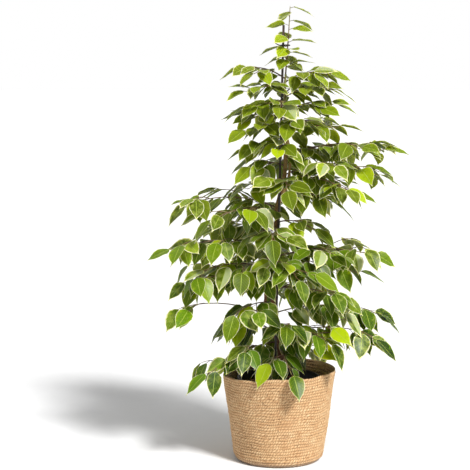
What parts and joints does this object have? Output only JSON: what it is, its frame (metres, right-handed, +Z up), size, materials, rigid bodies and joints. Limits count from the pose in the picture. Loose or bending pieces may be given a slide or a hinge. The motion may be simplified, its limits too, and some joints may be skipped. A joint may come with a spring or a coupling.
{
  "type": "potted weeping fig",
  "caption": "Upright variegated weeping fig tied to a cane, growing in a nursery pot that stands in a round basket of wound rope.",
  "frame": {"origin": "centre of the basket's underside, on the floor", "axes": "+Z up along the trunk, +X to the viewer's right and -Y towards the viewer of the picture"},
  "size_m": [0.5827, 0.4149, 1.0085],
  "materials": {
    "rope": "twisted plant fibre, matt",
    "pot_plastic": "thin moulded plastic, slightly shiny",
    "compost": "crumbly compost with bits of bark",
    "bark": "smooth young bark",
    "cane": "dark stained cane",
    "tie_plastic": "thin plastic strap",
    "foliage": "waxy leaf, green with cream edges"
  },
  "bodies": {
    "root": {"basket": "rope", "nursery_pot": "pot_plastic", "soil": "compost", "trunk": "bark", "stake": "cane", "tie_low": "tie_plastic", "tie_middle": "tie_plastic", "tie_top": "tie_plastic", "leader_shoot": "foliage", "spray_01": "foliage", "spray_02": "foliage", "spray_03": "foliage", "spray_04": "foliage", "spray_05": "foliage", "spray_06": "foliage", "spray_07": "foliage", "spray_08": "foliage", "spray_09": "foliage", "spray_10": "foliage", "spray_11": "foliage", "spray_12": "foliage", "spray_13": "foliage", "spray_14": "foliage", "spray_15": "foliage", "spray_16": "foliage", "spray_17": "foliage", "spray_18": "foliage", "spray_19": "foliage", "spray_20": "foliage", "spray_21": "foliage", "spray_22": "foliage", "spray_23": "foliage", "spray_24": "foliage", "spray_25": "foliage", "spray_26": "foliage", "spray_27": "foliage", "spray_28": "foliage", "spray_29": "foliage", "spray_30": "foliage", "spray_31": "foliage", "spray_32": "foliage", "spray_33": "foliage", "spray_34": "foliage", "spray_35": "foliage", "spray_36": "foliage", "spray_37": "foliage", "spray_38": "foliage", "spray_39": "foliage", "spray_40": "foliage", "spray_41": "foliage", "spray_42": "foliage", "spray_43": "foliage", "spray_44": "foliage", "spray_45": "foliage", "spray_46": "foliage", "spray_47": "foliage", "spray_48": "foliage", "spray_49": "foliage", "spray_50": "foliage", "spray_51": "foliage"}
  },
  "joints": []
}
